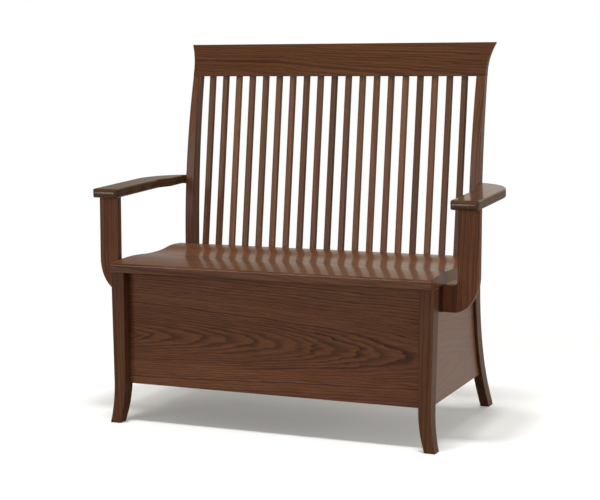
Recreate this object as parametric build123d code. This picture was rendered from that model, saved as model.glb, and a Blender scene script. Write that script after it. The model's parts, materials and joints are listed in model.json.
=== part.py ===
from build123d import *
import math
import os

# A mission settle: a lift-up saddle seat over a storage box, with bent arm supports, paddle
# arms and a spindle back. Millimetres, +Z up, +Y to the back. While the pieces are worked
# out, Y is measured from the front face of the front legs. At the end every piece is moved,
# so that the origin lies on the floor under the middle of the whole settle.

# Box under the seat
box_top = 440.0
box_bottom = 114.0
front_panel_length = 882.0
panel_thickness = 18.0
front_panel_setback = 30.0
side_panel_setback = 20.0
bottom_thickness = 12.0
bottom_rise = 2.0
cleat_size = 20.0
corner_block_size = 30.0
corner_block_drop = 28.0
edge_break = 1.2

# Front legs, tapering down to a knee and kicking outwards at the foot
front_leg_width = 41.0
front_leg_depth = 46.0
front_knee_width = 35.0
front_knee_rise = 2.0
front_foot_width = 31.0
front_foot_depth = 35.0
front_foot_kick = 18.0

# Seat lid with its saddled top
seat_end_setback = 5.0
seat_overhang = 13.0
seat_depth = 450.0
seat_edge_height = 26.0
seat_rise = 14.6
seat_nose_round = 6.0
seat_back_round = 3.0
seat_gap = 0.3
batten_width = 44.0
batten_thickness = 18.0
batten_end_gap = 29.5
batten_spread = 560.0

# Lid hinges, let into the back edge of the lid
hinge_count = 3
hinge_spread = 640.0
hinge_length = 64.0
hinge_leaf_height = 28.0
hinge_leaf_thickness = 1.6
hinge_barrel_radius = 3.0
hinge_pin_radius = 1.4
hinge_pin_head = 0.8
hinge_knuckles = 3
hinge_axis_drop = 3.3
hinge_axis_out = 1.5
hinge_gap = 0.3
hinge_pin_gap = 0.1
hinge_screws_per_leaf = 3
hinge_screw_spread = 44.0
hinge_screw_drop = 16.0
hinge_screw_radius = 1.4
hinge_screw_head = 2.6
hinge_screw_length = 12.0

# Back posts, each one board from the floor to the crest rail
post_thickness = 27.0
post_seat_gap = 14.0
post_depth = 46.0
post_straight_above = 60.0
post_straight_below = 40.0
post_front_lean = 67.0
post_back_lean = 46.0
post_foot_sweep = 123.0
post_toe_height = 50.0
post_tenon_length = 18.0
post_tenon_shoulder = 5.0

# Rail behind the seat, spindles, and the crest rail on top of them
rail_height = 62.0
rail_thickness = 36.0
back_panel_setback = 4.0
back_rise = 530.0
spindle_count = 19
spindle_end_gap = 37.2
spindle_width = 18.0
spindle_depth = 14.0
spindle_low_setback = 5.5
spindle_high_setback = 4.0
tenon_length = 12.0
tenon_shoulder = 3.0
crest_height = 99.0
crest_lean = 37.0
crest_bow = 2.8
crest_top_thickness = 20.0
crest_flare = 19.0
crest_flare_rise = 15.0
crest_top_round = 4.0

# Arms, rising to the back, and their bent supports
arm_rise = 232.0
arm_slope_share = 0.05
arm_width = 79.0
arm_inset = 24.0
arm_thickness = 26.0
arm_nose = 66.0
arm_nose_top_round = 13.0
arm_nose_bottom_round = 10.0
arm_corner_round = 12.0
arm_edge_break = 3.0
arm_waist_reach = 134.0
arm_waist_length = 70.0
arm_lid_gap = 3.0
arm_lap_setback = 8.0
arm_lap_length = 17.0
arm_tail_length = 141.0
support_width = 60.0
support_thickness = 20.0
support_front = 104.0
support_inset = 5.0
support_foot_height = 74.0
support_bend_width = 70.0
support_bend_height = 99.0
support_inner_round = 10.0

# Screws, dowels and the allowances in the joints
joint_gap = 0.15
tongue_length = 7.0
tongue_thickness = 6.0
screw_radius = 2.0
screw_head = 4.0
screw_head_length = 2.4
screw_tip_length = 4.0
screw_tip_radius = 0.5
screw_sides = 8
support_screw_length = 48.0
support_screw_spread = 40.0
batten_screw_length = 28.0
batten_screw_inset = 40.0
arm_screw_length = 42.0
dowel_radius = 4.0
dowel_sides = 12
dowel_length = 30.0
dowel_spread = 28.0
overrun = 3.0

# Height of the seat top above its front edge, as shares of the seat depth and the seat rise
seat_profile_shares = (
    (0.0, 0.0), (0.17, 0.40), (0.34, 0.52), (0.50, 0.28), (0.62, 0.28),
    (0.72, 0.46), (0.83, 0.92), (0.91, 1.0), (1.0, 0.89),
)

# Places worked out from the sizes, across the settle
leg_inner = front_panel_length / 2
leg_outer = leg_inner + front_leg_width
side_outer = leg_outer - side_panel_setback
side_inner = side_outer - panel_thickness
post_inner = side_inner
post_outer = post_inner + post_thickness
seat_half = leg_outer - seat_end_setback
arm_inner = seat_half + arm_inset
arm_outer = arm_inner + arm_width
arm_narrow = seat_half + arm_lid_gap
support_outer = arm_outer - support_inset
support_inner = support_outer - support_width

# Heights
knee_height = box_bottom + front_knee_rise
cleat_top = box_bottom + bottom_rise + cleat_size
floor_top = cleat_top + bottom_thickness
lid_bottom = box_top + seat_gap
lid_edge_top = lid_bottom + seat_edge_height
lid_back_top = lid_edge_top + seat_rise * seat_profile_shares[-1][1]
rail_top = box_top + seat_edge_height
rail_bottom = rail_top - rail_height
straight_top = box_top + post_straight_above
straight_bottom = box_top - post_straight_below
post_top = rail_top + back_rise
crest_top = post_top + crest_height
arm_height = box_top + arm_rise
hinge_z = lid_back_top - hinge_axis_drop

# Places from front to back
panel_back = front_panel_setback + panel_thickness
seat_back = seat_depth - seat_overhang
batten_front = panel_back + batten_end_gap
batten_back = seat_back - batten_end_gap
hinge_y = seat_back + hinge_axis_out
hinge_reach = hinge_barrel_radius + hinge_gap
rail_front = hinge_y + hinge_reach
back_panel_front = rail_front + back_panel_setback
post_front = seat_back + post_seat_gap
post_back = post_front + post_depth
post_front_top = post_front + post_front_lean
post_back_top = post_back + post_back_lean
sweep_height = straight_bottom - post_toe_height
foot_reach = post_foot_sweep + post_toe_height * math.tan(2 * math.atan2(post_foot_sweep, sweep_height))
foot_back = post_back + foot_reach
arm_lap_start = post_front + arm_lap_setback
arm_lap_end = arm_lap_start + arm_lap_length
arm_waist_start = arm_lap_start - arm_waist_reach
arm_waist_end = arm_waist_start + arm_waist_length
arm_angle = math.degrees(math.atan(arm_slope_share))


def block(x0, x1, y0, y1, z0, z1):
    """A board between two corners."""
    middle = ((x0 + x1) / 2, (y0 + y1) / 2, (z0 + z1) / 2)
    return Pos(*middle) * Box(x1 - x0, y1 - y0, z1 - z0)


def side_slab(outline, x0, x1):
    """A closed side view made into a board that spans x0 to x1."""
    face = make_face(Plane.YZ * outline)
    return Pos(x0, 0, 0) * extrude(face, amount=x1 - x0, dir=(1, 0, 0))


def front_slab(outline, y0, y1):
    """A closed front view made into a board that spans y0 to y1."""
    face = make_face(Plane.XZ * outline)
    return Pos(0, y0, 0) * extrude(face, amount=y1 - y0, dir=(0, 1, 0))


def mirrored(solid):
    """The left-hand copy of a right-hand piece."""
    return mirror(solid, about=Plane.YZ)


def bulged(start, end, bulge):
    """An arc whose middle stands off its chord, to the left of the way from start to end."""
    dx = end[0] - start[0]
    dy = end[1] - start[1]
    chord = math.hypot(dx, dy)
    middle_x = (start[0] + end[0]) / 2 - dy / chord * bulge
    middle_y = (start[1] + end[1]) / 2 + dx / chord * bulge
    return ThreePointArc(start, (middle_x, middle_y), end)


def leaning_bar(x, width, front, depth, z0, z1):
    """An upright bar that leans back; front gives its front face at a height."""
    outline = Polyline(
        (front(z0), z0), (front(z1), z1), (front(z1) + depth, z1), (front(z0) + depth, z0), close=True
    )
    return side_slab(outline, x - width / 2, x + width / 2)


def eased(solid, axis):
    """The same board with its edges along an axis broken."""
    return chamfer(solid.edges().filter_by(axis), edge_break)


def wood_screw(length, radius, head):
    """A countersunk screw that points down, its flat head at the origin, its round made of flats."""
    rings = ((0, head), (-screw_head_length, radius), (screw_tip_length - length, radius),
             (-length, screw_tip_radius))
    return loft([Pos(0, 0, z) * RegularPolygon(ring, screw_sides) for z, ring in rings], ruled=True)


def dowel_pin(gap):
    """A dowel along Z about the origin, its round made of flats, or, with a gap, the hole for it."""
    half = dowel_length / 2 + gap
    return Pos(0, 0, -half) * extrude(RegularPolygon(dowel_radius + gap, dowel_sides), amount=2 * half)


def screw_at(place, turn, length, radius=screw_radius, head=screw_head):
    """A screw with its head at a place, turned from pointing down."""
    return Pos(*place) * turn * wood_screw(length, radius, head)


def screw_hole(place, turn, length, radius=screw_radius, head=screw_head):
    """The countersunk hole for a screw, clear of it all round."""
    return screw_at(place, turn, length + joint_gap, radius + joint_gap, head + joint_gap)


# Turns that point a screw up, to the back, to the front and to the right
point_up = Rot(180, 0, 0)
point_back = Rot(90, 0, 0)
point_front = Rot(-90, 0, 0)
point_right = Rot(0, -90, 0)


def spindle_front(z):
    """The front face of the spindles at a height."""
    low = post_front + spindle_low_setback
    high = post_front_top + spindle_high_setback
    return low + (high - low) * (z - rail_top) / (post_top - rail_top)


def spindle_places():
    """The middles of the spindles, spaced evenly between the posts."""
    last = post_inner - spindle_end_gap
    pitch = 2 * last / (spindle_count - 1)
    return [index * pitch - last for index in range(spindle_count)]


def hinge_places():
    """The middles of the hinges along the back edge of the lid."""
    pitch = hinge_spread / (hinge_count - 1)
    return [index * pitch - hinge_spread / 2 for index in range(hinge_count)]


# Box under the seat

def front_tongue(gap):
    """The tongue on the end of the front panel, or, with a gap, its groove in the leg."""
    middle = front_panel_setback + panel_thickness / 2
    half = tongue_thickness / 2 + gap
    return block(leg_inner, leg_inner + tongue_length + gap, middle - half, middle + half,
                 box_bottom - gap, box_top)


def side_tongue(gap):
    """The tongue on the front of the side panel, or, with a gap, its groove in the leg."""
    middle = side_outer - panel_thickness / 2
    half = tongue_thickness / 2 + gap
    return block(middle - half, middle + half, front_leg_depth - tongue_length - gap, front_leg_depth,
                 box_bottom - gap, box_top)


def make_front_leg():
    """The right front leg, shaped by its outline from the front and its outline from the side."""
    knee = (leg_inner + front_knee_width, knee_height)
    hollow = (leg_inner, knee_height)
    toe_inner = (leg_inner + front_foot_kick, 0)
    toe_outer = (leg_inner + front_foot_kick + front_foot_width, 0)
    from_front = Curve() + [
        Line((leg_outer, box_top), knee),
        TangentArc(knee, toe_outer, tangent=(0, -1)),
        Line(toe_outer, toe_inner),
        TangentArc(hollow, toe_inner, tangent=(0, -1)),
        Line(hollow, (leg_inner, box_top)),
        Line((leg_inner, box_top), (leg_outer, box_top)),
    ]
    from_side = Polyline(
        (0, 0), (front_foot_depth, 0), (front_leg_depth, knee_height), (front_leg_depth, box_top),
        (0, box_top), close=True,
    )
    leg = front_slab(from_front, 0, front_leg_depth)
    leg &= side_slab(from_side, leg_inner - overrun, toe_outer[0] + overrun)
    outside = leg.faces().sort_by(Axis.Y)[0].edges()
    leg = chamfer([edge for edge in outside if edge.length > front_leg_depth], edge_break)
    return leg - front_tongue(joint_gap) - side_tongue(joint_gap)


def make_front_panel():
    """The front board of the box, with a tongue on each end."""
    panel = eased(block(-leg_inner, leg_inner, front_panel_setback, panel_back, box_bottom, box_top), Axis.X)
    return panel + front_tongue(0) + mirrored(front_tongue(0))


def post_edge(y, lean):
    """One edge of a post from the floor up: toe, sweep, straight length and lean."""
    toe_top = (y + post_foot_sweep, post_toe_height)
    return [
        Line((y + foot_reach, 0), toe_top),
        TangentArc((y, straight_bottom), toe_top, tangent=(0, -1)),
        Line((y, straight_bottom), (y, straight_top)),
        TangentArc((y, straight_top), (y + lean, post_top), tangent=(0, 1)),
    ]


def make_side_panel():
    """The right side of the box, its back edge cut to the curve of the back post."""
    panel = block(side_inner, side_outer, front_leg_depth, foot_back, box_bottom, box_top)
    behind = Curve() + post_edge(post_front, post_front_lean) + [
        Polyline((post_front_top, post_top), (foot_back + overrun, post_top), (foot_back + overrun, 0),
                 (post_front + foot_reach, 0)),
    ]
    panel -= side_slab(behind, side_inner - overrun, side_outer + overrun)
    panel += side_tongue(0)
    for place in support_screw_places():
        panel -= screw_hole(place, point_right, support_screw_length)
    return panel


def make_back_panel():
    """The back board of the box, under the rail and between the side panels."""
    return eased(
        block(-side_inner, side_inner, back_panel_front, back_panel_front + panel_thickness,
              box_bottom, rail_bottom),
        Axis.X,
    )


def make_bottom_panel():
    """The floor of the box."""
    return block(-side_inner, side_inner, panel_back, back_panel_front, cleat_top, floor_top)


def make_long_cleat(front):
    """A cleat along the front or back of the box, under its floor."""
    end = side_inner - cleat_size
    return eased(block(-end, end, front, front + cleat_size, cleat_top - cleat_size, cleat_top), Axis.X)


def make_side_cleat():
    """The right cleat under the floor of the box."""
    inner = side_inner - cleat_size
    return eased(block(inner, side_inner, panel_back, back_panel_front, cleat_top - cleat_size, cleat_top),
                 Axis.Y)


def make_corner_block(front, top):
    """A right-hand glue block that stands on the floor of the box in a corner."""
    inner = side_inner - corner_block_size
    return eased(block(inner, side_inner, front, front + corner_block_size, floor_top, top), Axis.Z)


# Back

def post_tenon(gap):
    """The tenon on top of the right post, or, with a gap, its mortise in the crest rail."""
    slope = crest_lean / crest_height

    def front(z):
        return post_front_top + post_tenon_shoulder - gap + (z - post_top) * slope

    middle = (post_inner + post_outer) / 2
    width = post_thickness - 2 * post_tenon_shoulder + 2 * gap
    depth = post_back_top - post_front_top - 2 * post_tenon_shoulder + 2 * gap
    return leaning_bar(middle, width, front, depth, post_top, post_top + post_tenon_length + gap)


def make_post():
    """The right back post: one curved board from its swept foot to its tenon."""
    outline = Curve() + post_edge(post_front, post_front_lean) + post_edge(post_back, post_back_lean) + [
        Line((post_front + foot_reach, 0), (foot_back, 0)),
        Line((post_front_top, post_top), (post_back_top, post_top)),
    ]
    post = side_slab(outline, post_inner, post_outer)
    outside = post.faces().sort_by(Axis.X)[-1].edges()
    lengthwise = [edge for edge in outside if 0 < edge.center().Z < post_top]
    post = chamfer([edge for edge in lengthwise if edge.bounding_box().size.Z > edge_break], edge_break)
    return post + post_tenon(0) - arm_screw(screw_hole)


def spindle_tenon(x, z0, z1, gap):
    """A spindle tenon between two heights, or, with a gap, the hole for it."""
    def front(z):
        return spindle_front(z) + tenon_shoulder - gap

    width = spindle_width - 2 * tenon_shoulder + 2 * gap
    depth = spindle_depth - 2 * tenon_shoulder + 2 * gap
    return leaning_bar(x, width, front, depth, z0, z1)


def make_spindle(x):
    """A square spindle with its edges broken and a tenon at each end."""
    bar = leaning_bar(x, spindle_width, spindle_front, spindle_depth, rail_top, post_top)
    bar = chamfer(bar.edges().filter_by(lambda edge: edge.length > back_rise / 2), edge_break)
    bar += spindle_tenon(x, rail_top - tenon_length, rail_top, 0)
    return bar + spindle_tenon(x, post_top, post_top + tenon_length, 0)


def make_back_rail():
    """The rail behind the seat: it holds the spindles and carries the hinges in front."""
    rail = eased(
        block(-post_inner, post_inner, rail_front, rail_front + rail_thickness, rail_bottom, rail_top), Axis.X
    )
    for x in spindle_places():
        rail -= spindle_tenon(x, rail_top - tenon_length - joint_gap, rail_top, joint_gap)
    for place in hinge_screw_places():
        rail -= frame_hinge_screw(place, screw_hole)
    return rail


def make_crest_rail():
    """The crest rail: a bowed section whose ends rise with the posts, then flare out, mortised below."""
    front_top = post_front_top + crest_lean
    back_top = front_top + crest_top_thickness
    reach = post_outer + crest_flare
    flare_bottom = post_top + crest_flare_rise
    section = Curve() + [
        bulged((post_front_top, post_top), (front_top, crest_top), crest_bow),
        Line((front_top, crest_top), (back_top, crest_top)),
        bulged((post_back_top, post_top), (back_top, crest_top), crest_bow),
        Line((post_back_top, post_top), (post_front_top, post_top)),
    ]
    ends = Curve() + [
        Polyline((-post_outer, flare_bottom), (-post_outer, post_top), (post_outer, post_top),
                 (post_outer, flare_bottom)),
        TangentArc((post_outer, flare_bottom), (reach, crest_top), tangent=(0, 1)),
        Line((reach, crest_top), (-reach, crest_top)),
        TangentArc((-post_outer, flare_bottom), (-reach, crest_top), tangent=(0, 1)),
    ]
    rail = side_slab(section, -reach, reach)
    rail = fillet(rail.edges().filter_by(Axis.X).group_by(Axis.Z)[-1], crest_top_round)
    rail &= front_slab(ends, post_front_top - overrun, back_top + overrun)
    for x in spindle_places():
        rail -= spindle_tenon(x, post_top, post_top + tenon_length + joint_gap, joint_gap)
    return rail - post_tenon(joint_gap) - mirrored(post_tenon(joint_gap))


# Seat lid

def seat_outline():
    """The side view of the lid, its saddled top between a rounded nose and a rounded back."""
    saddle = [(x * seat_depth - seat_overhang, lid_edge_top + z * seat_rise) for x, z in seat_profile_shares]
    front = saddle[0][0]
    nose = (front + seat_nose_round, lid_edge_top)
    nose_low = (front, lid_edge_top - seat_nose_round)
    tail = (seat_back - seat_back_round, lid_back_top)
    tail_low = (seat_back, lid_back_top - seat_back_round)
    return Curve() + [
        Spline([nose] + saddle[1:-1] + [tail]),
        TangentArc(nose_low, nose, tangent=(0, 1)),
        Polyline(nose_low, (front, lid_bottom + edge_break), (front + edge_break, lid_bottom),
                 (seat_back, lid_bottom), tail_low),
        TangentArc(tail_low, tail, tangent=(0, 1)),
    ]


def make_seat_lid():
    """The lid, with a gain for each hinge and the holes of its screws."""
    lid = side_slab(seat_outline(), -seat_half, seat_half)
    gain_half = hinge_length / 2 + hinge_pin_head + hinge_gap
    for x in hinge_places():
        lid -= block(x - gain_half, x + gain_half, hinge_y - hinge_reach, seat_back + overrun,
                     lid_bottom - overrun, lid_back_top + overrun)
    for place in hinge_screw_places():
        lid -= lid_hinge_screw(place, screw_hole)
    for place in batten_screw_places(1) + batten_screw_places(-1):
        lid -= screw_hole(place, point_up, batten_screw_length)
    return lid


def batten_screw_places(side):
    """The heads of the screws under the batten on one side."""
    first = batten_front + batten_screw_inset
    last = batten_back - batten_screw_inset
    height = lid_bottom - batten_thickness
    return [(side * batten_spread / 2, y, height) for y in (first, (first + last) / 2, last)]


def make_batten():
    """The right batten under the lid, its lower edges broken."""
    middle = batten_spread / 2
    batten = block(middle - batten_width / 2, middle + batten_width / 2, batten_front, batten_back,
                   lid_bottom - batten_thickness, lid_bottom)
    batten = chamfer(batten.faces().sort_by(Axis.Z)[0].edges(), edge_break)
    for place in batten_screw_places(1):
        batten -= screw_hole(place, point_up, batten_screw_length)
    return batten


# Hinges

def hinge_screw_places():
    """Across and up, the places of the screws in every leaf."""
    pitch = hinge_screw_spread / (hinge_screws_per_leaf - 1)
    start = -hinge_screw_spread / 2
    height = hinge_z - hinge_screw_drop
    return [
        (x + start + index * pitch, height)
        for x in hinge_places() for index in range(hinge_screws_per_leaf)
    ]


def frame_hinge_screw(place, shape):
    """A screw through a fixed leaf into the back rail, or its hole."""
    head = (place[0], rail_front - hinge_leaf_thickness, place[1])
    return shape(head, point_back, hinge_screw_length, hinge_screw_radius, hinge_screw_head)


def lid_hinge_screw(place, shape):
    """A screw through a moving leaf into the back edge of the lid, or its hole."""
    head = (place[0], hinge_y - hinge_reach + hinge_leaf_thickness, place[1])
    return shape(head, point_front, hinge_screw_length, hinge_screw_radius, hinge_screw_head)


def along_hinge(x, radius, length):
    """A cylinder on the hinge axis with its middle at x."""
    return Pos(x, hinge_y, hinge_z) * Rot(0, 90, 0) * Cylinder(radius, length)


def knuckle_places(x, first):
    """The middles of every second knuckle of the hinge at x."""
    pitch = hinge_length / hinge_knuckles
    return [x - hinge_length / 2 + (index + 1 / 2) * pitch for index in range(first, hinge_knuckles, 2)]


def make_hinge_leaf(x, front, first, screw):
    """A leaf with its own knuckles, notches for the other leaf's, a bore and screw holes."""
    half = hinge_length / 2
    knuckle = hinge_length / hinge_knuckles
    leaf = block(x - half, x + half, front, front + hinge_leaf_thickness,
                 hinge_z - hinge_leaf_height, hinge_z)
    for middle in knuckle_places(x, 1 - first):
        notch = (knuckle + hinge_gap) / 2
        leaf -= block(middle - notch, middle + notch, front - overrun, front + overrun,
                      hinge_z - hinge_reach, hinge_z + overrun)
    for middle in knuckle_places(x, first):
        leaf += along_hinge(middle, hinge_barrel_radius, knuckle - hinge_gap)
    leaf -= along_hinge(x, hinge_pin_radius + hinge_pin_gap, hinge_length)
    for place in hinge_screw_places():
        if abs(place[0] - x) < half:
            leaf -= screw(place, screw_hole)
    return leaf


def make_hinge_pin(x):
    """The pin of the hinge at x, with a small head at each end."""
    pin = along_hinge(x, hinge_pin_radius, hinge_length)
    for side in (-1, 1):
        end = x + side * (hinge_length + hinge_pin_head) / 2
        pin += along_hinge(end, hinge_barrel_radius - hinge_gap, hinge_pin_head)
    return pin


# Arms and their supports

def rising():
    """The tilt of the arms, about their top above the front of the supports."""
    return Pos(0, support_front, arm_height) * Rot(arm_angle, 0, 0) * Pos(0, -support_front, -arm_height)


def arm_plan():
    """The right arm from above: straight, then waisted inside and swept round outside."""
    return Curve() + [
        Line((arm_inner, arm_nose), (arm_inner, arm_waist_start)),
        Spline((arm_inner, arm_waist_start), (arm_narrow, arm_waist_end), tangents=((0, 1), (0, 1))),
        Polyline((arm_narrow, arm_waist_end), (arm_narrow, arm_lap_start), (post_outer, arm_lap_start),
                 (post_outer, arm_lap_end)),
        TangentArc((arm_outer, arm_lap_end - arm_tail_length), (post_outer, arm_lap_end), tangent=(0, 1)),
        Polyline((arm_outer, arm_lap_end - arm_tail_length), (arm_outer, arm_nose), (arm_inner, arm_nose)),
    ]


def arm_side_view():
    """The side view of a level arm: a bullnose in front, more rounded above than below."""
    low = arm_height - arm_thickness
    low_start = (arm_nose, low + arm_nose_bottom_round)
    high_start = (arm_nose, arm_height - arm_nose_top_round)
    high_end = (arm_nose + arm_nose_top_round, arm_height)
    low_end = (arm_nose + arm_nose_bottom_round, low)
    return Curve() + [
        TangentArc(high_start, high_end, tangent=(0, 1)),
        TangentArc(low_start, low_end, tangent=(0, -1)),
        Line(low_start, high_start),
        Polyline(high_end, (arm_lap_end, arm_height), (arm_lap_end, low), low_end),
    ]


def make_arm():
    """The right arm: its plan with rounded front corners, cut by its side view, then tilted."""
    board = Pos(0, 0, arm_height - arm_thickness) * extrude(
        make_face(arm_plan()), amount=arm_thickness, dir=(0, 0, 1)
    )
    board = fillet(board.edges().filter_by(Axis.Z).group_by(Axis.Y)[0], arm_corner_round)
    level = board.edges().filter_by(Axis.Z, reverse=True)
    board = chamfer([edge for edge in level if edge.center().Y < arm_lap_start], arm_edge_break)
    board &= side_slab(arm_side_view(), post_outer - overrun, arm_outer + overrun)
    arm = rising() * board
    arm -= arm_screw(screw_hole)
    for dowel in arm_dowels(joint_gap):
        arm -= dowel
    return arm


def make_support():
    """The right arm support: its foot against the box, an outer bend, its head under the arm."""
    foot_bottom = box_top - support_foot_height
    bend = (support_outer - support_bend_width, foot_bottom + support_bend_height)
    hollow = (support_inner - support_inner_round, box_top)
    outline = Curve() + [
        EllipticalCenterArc(bend, support_bend_width, support_bend_height, start_angle=270, arc_size=90),
        Polyline((bend[0], foot_bottom), (side_outer, foot_bottom), (side_outer, box_top), hollow),
        TangentArc(hollow, (support_inner, box_top + support_inner_round), tangent=(1, 0)),
        Polyline((support_inner, box_top + support_inner_round), (support_inner, arm_height),
                 (support_outer, arm_height), (support_outer, bend[1])),
    ]
    support = front_slab(outline, support_front, support_front + support_thickness)
    support -= rising() * block(arm_inner - overrun, arm_outer + overrun, arm_nose, arm_lap_end,
                                arm_height - arm_thickness, arm_height + arm_thickness)
    for place in support_screw_places():
        support -= screw_hole(place, point_right, support_screw_length)
    for dowel in arm_dowels(joint_gap):
        support -= dowel
    return support


def arm_dowels(gap):
    """The dowels between the right support and arm, or, with a gap, the holes for them."""
    middle = (support_inner + support_outer) / 2
    across = support_front + support_thickness / 2
    level = arm_height - arm_thickness
    places = [Pos(middle + side * dowel_spread / 2, across, level) for side in (-1, 1)]
    return [rising() * place * dowel_pin(gap) for place in places]


def support_screw_places():
    """The heads of the screws that hold the foot of the right support, inside the box."""
    across = support_front + support_thickness / 2
    middle = box_top - support_foot_height / 2
    return [(side_inner, across, middle + side * support_screw_spread / 2) for side in (-1, 1)]


def arm_screw(shape):
    """The screw from inside the right post into the tail of the arm, or its hole."""
    across = (arm_lap_start + arm_lap_end) / 2
    height = arm_height - arm_thickness / 2 + (across - support_front) * arm_slope_share
    return shape((post_inner, across, height), point_right, arm_screw_length)


def paired_nodes():
    """The pieces made for the right side, and mirrored for the left."""
    return {
        "front_leg": make_front_leg(),
        "back_post": make_post(),
        "side_panel": make_side_panel(),
        "side_cleat": make_side_cleat(),
        "front_corner_block": make_corner_block(panel_back, box_top - corner_block_drop),
        "back_corner_block": make_corner_block(back_panel_front - corner_block_size, rail_bottom),
        "lid_batten": make_batten(),
        "arm": make_arm(),
        "arm_support": make_support(),
    }


def single_nodes():
    """The pieces that lie across the middle."""
    return {
        "front_panel": make_front_panel(),
        "back_panel": make_back_panel(),
        "bottom_panel": make_bottom_panel(),
        "front_cleat": make_long_cleat(panel_back),
        "back_cleat": make_long_cleat(back_panel_front - cleat_size),
        "back_rail": make_back_rail(),
        "crest_rail": make_crest_rail(),
        "seat_lid": make_seat_lid(),
    }


def repeated_nodes():
    """The spindles and the hinges."""
    nodes = {}
    for number, x in enumerate(spindle_places(), start=1):
        nodes[f"spindle_{number:02d}"] = make_spindle(x)
    for number, x in enumerate(hinge_places(), start=1):
        fixed_front = rail_front - hinge_leaf_thickness
        nodes[f"hinge_fixed_leaf_{number}"] = make_hinge_leaf(x, fixed_front, 0, frame_hinge_screw)
        nodes[f"hinge_lid_leaf_{number}"] = make_hinge_leaf(x, hinge_y - hinge_reach, 1, lid_hinge_screw)
        nodes[f"hinge_pin_{number}"] = make_hinge_pin(x)
    return nodes


def fastener_nodes():
    """Groups of alike screws and dowels."""
    support_screws = [screw_at(place, point_right, support_screw_length) for place in support_screw_places()]
    batten_places = batten_screw_places(1) + batten_screw_places(-1)
    return {
        "hinge_frame_screws": [frame_hinge_screw(place, screw_at) for place in hinge_screw_places()],
        "hinge_lid_screws": [lid_hinge_screw(place, screw_at) for place in hinge_screw_places()],
        "batten_screws": [screw_at(place, point_up, batten_screw_length) for place in batten_places],
        "support_screws": support_screws + [mirrored(screw) for screw in support_screws],
        "arm_screws": [arm_screw(screw_at), mirrored(arm_screw(screw_at))],
        "arm_dowels": arm_dowels(0) + [mirrored(dowel) for dowel in arm_dowels(0)],
    }


def main():
    """Write every piece, moved so that the origin is under the middle of the settle."""
    os.makedirs("parts", exist_ok=True)
    nodes = single_nodes() | repeated_nodes() | fastener_nodes()
    for name, solid in paired_nodes().items():
        nodes["right_" + name] = solid
        nodes["left_" + name] = mirrored(solid)
    centre = Pos(0, (seat_overhang - foot_back) / 2, 0)
    for name, piece in nodes.items():
        if isinstance(piece, list):
            placed = Compound(children=[centre * solid for solid in piece])
        else:
            placed = centre * piece
        export_step(placed, f"parts/{name}.step")
    print(len(nodes), "nodes")


main()
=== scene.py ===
# %% [markdown]
# # A storage settle in dark stained oak
# The settle is a box with a hinged seat, two arms on bent supports, and a leaning back of slender
# spindles. Its engineering model is loaded first and stays fixed, and everything here is built on it:
# boards with softly rounded edges, a wood finish worked out from how a tree grows, and a plain studio.
# Lengths are in metres, +X is to the right, +Y to the back and +Z up.

# %% Load the fixed frame
import json
import math

import bmesh
import bpy
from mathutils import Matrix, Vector

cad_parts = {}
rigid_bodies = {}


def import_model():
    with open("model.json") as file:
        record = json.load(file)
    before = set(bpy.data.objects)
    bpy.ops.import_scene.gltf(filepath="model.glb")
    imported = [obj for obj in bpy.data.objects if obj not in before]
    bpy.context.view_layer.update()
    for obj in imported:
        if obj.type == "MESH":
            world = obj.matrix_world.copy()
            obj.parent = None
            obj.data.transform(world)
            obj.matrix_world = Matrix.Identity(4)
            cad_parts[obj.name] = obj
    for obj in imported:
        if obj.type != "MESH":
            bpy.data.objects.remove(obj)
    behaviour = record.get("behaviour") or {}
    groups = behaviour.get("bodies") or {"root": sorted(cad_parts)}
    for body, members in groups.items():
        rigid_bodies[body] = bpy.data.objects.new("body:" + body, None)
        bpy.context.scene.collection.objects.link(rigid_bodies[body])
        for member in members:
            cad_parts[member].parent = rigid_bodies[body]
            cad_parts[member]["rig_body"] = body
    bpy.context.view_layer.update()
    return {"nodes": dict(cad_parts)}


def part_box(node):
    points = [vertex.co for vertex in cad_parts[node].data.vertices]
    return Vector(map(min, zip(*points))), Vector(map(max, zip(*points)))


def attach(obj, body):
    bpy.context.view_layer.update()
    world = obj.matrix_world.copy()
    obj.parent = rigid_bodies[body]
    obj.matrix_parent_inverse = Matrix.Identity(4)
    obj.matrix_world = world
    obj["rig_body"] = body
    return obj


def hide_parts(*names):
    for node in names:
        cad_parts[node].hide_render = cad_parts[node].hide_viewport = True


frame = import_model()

# %% [markdown]
# ## Camera
# A camera is a place, two angles and a lens. It could be moved by eye until the view looks right, but
# here the numbers came from fitting straight edges of the settle, such as the seat and the feet, so that
# the render can be laid over the photograph. A long lens keeps the spindles nearly parallel.

# %% Place the camera
def in_scene(name, data):
    """A new object in the scene, at the origin."""
    made = bpy.data.objects.new(name, data)
    bpy.context.scene.collection.objects.link(made)
    return made


camera_place = (1.6114, -3.9955, 0.990)
camera_yaw = math.radians(22.33)
camera_pitch = math.radians(6.63)
camera_lens = 88.62

camera = in_scene("camera", bpy.data.cameras.new("camera"))
camera.location = camera_place
camera.rotation_euler = (math.pi / 2 - camera_pitch, 0, camera_yaw)
camera.data.lens = camera_lens
bpy.context.scene.camera = camera
print("camera at", camera_place, "lens", camera_lens)

# %% [markdown]
# ## Small helpers for node trees
# Shaders and Geometry Nodes are both made of nodes and links, and could be wired by hand in their
# editors. A script can be read, changed and run again, but it is wordy. One helper that adds a node, and
# takes for each socket either a value or another node's output, keeps the recipes short enough to read.

# %% Node helpers
def feed(tree, socket, value):
    """Give a socket a value, or link it to the output that feeds it."""
    if isinstance(value, bpy.types.NodeSocket):
        tree.links.new(value, socket)
    else:
        socket.default_value = value


def add(tree, kind, sockets=(), **settings):
    """Add a node; each socket is given a value or the output that feeds it."""
    made = tree.nodes.new(kind)
    for name, value in settings.items():
        setattr(made, name, value)
    for name, value in dict(sockets).items():
        feed(tree, made.inputs[name], value)
    return made


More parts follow.
